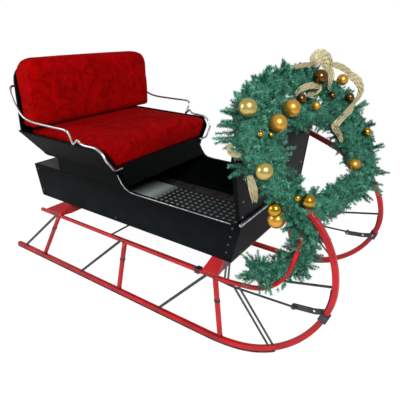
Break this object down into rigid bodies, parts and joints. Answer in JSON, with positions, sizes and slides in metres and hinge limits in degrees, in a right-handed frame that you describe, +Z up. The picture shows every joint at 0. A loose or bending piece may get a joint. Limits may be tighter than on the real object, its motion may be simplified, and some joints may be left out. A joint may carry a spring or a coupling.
{
  "type": "horse drawn sleigh",
  "caption": "One-horse sleigh: splayed curled runners, box body, flared seat with plush cushions, upright dash and a fir wreath with baubles over the curls.",
  "frame": {"origin": "on the ground, on the centre line, halfway along the runners", "axes": "+X forward to the horse, +Y to the sleigh's left, +Z up"},
  "size_m": [2.1409, 1.1143, 1.3269],
  "materials": {
    "red_enamel": "glossy red coach enamel over wood and iron, light wear",
    "worn_steel": "bare steel worn by snow",
    "black_iron": "black painted wrought iron",
    "black_wood": "black painted wood",
    "black_enamel": "glossy black coach enamel on wood",
    "deck_boards": "gray brown painted boards, worn",
    "mat_rubber": "gray mat with raised dots",
    "silver_trim": "polished silver moulding",
    "red_plush": "deep red crushed plush",
    "nickel_rail": "polished nickel",
    "dash_leather": "dark gray patent leather dash",
    "fir_needles": "blue green tinsel fir needles",
    "gold_bauble": "gold and pearl baubles",
    "gold_ribbon": "pale gold gauze ribbon"
  },
  "bodies": {
    "root": {"arm_rail_left": "nickel_rail", "arm_rail_right": "nickel_rail", "back_cushion": "red_plush", "baubles": "gold_bauble", "bench_front": "red_enamel", "bench_rear": "red_enamel", "body_floor": "deck_boards", "body_front_panel": "black_enamel", "body_rear_panel": "black_enamel", "body_side_left": "black_enamel", "body_side_right": "black_enamel", "braces_left": "black_iron", "braces_right": "black_iron", "cross_rod": "black_iron", "curl_clamp_left": "black_iron", "curl_clamp_right": "black_iron", "curl_strut_left": "black_iron", "curl_strut_right": "black_iron", "dash_board": "dash_leather", "dash_edge_trim": "silver_trim", "draft_link_left": "black_iron", "draft_link_right": "black_iron", "draft_rod_left": "black_iron", "draft_rod_right": "black_iron", "floor_batten_left": "black_wood", "floor_batten_right": "black_wood", "floor_mat": "mat_rubber", "front_stays_left": "black_iron", "front_stays_right": "black_iron", "front_top_bar": "silver_trim", "garland_strand": "fir_needles", "garland_tail": "fir_needles", "knees_left": "red_enamel", "knees_right": "red_enamel", "rave_left": "red_enamel", "rave_right": "red_enamel", "rave_strap_left": "black_iron", "rave_strap_right": "black_iron", "rear_deck": "deck_boards", "ribbon_bow": "gold_ribbon", "riser_rear_board": "black_enamel", "runner_left": "red_enamel", "runner_right": "red_enamel", "seat_back_board": "black_enamel", "seat_base": "black_wood", "seat_cushion": "red_plush", "seat_front_board": "black_enamel", "seat_side_left": "black_enamel", "seat_side_right": "black_enamel", "shoe_left": "worn_steel", "shoe_right": "worn_steel", "sill_trim_left": "silver_trim", "sill_trim_right": "silver_trim", "v_stays_left": "black_iron", "v_stays_right": "black_iron", "wreath_ring": "fir_needles"}
  },
  "joints": []
}
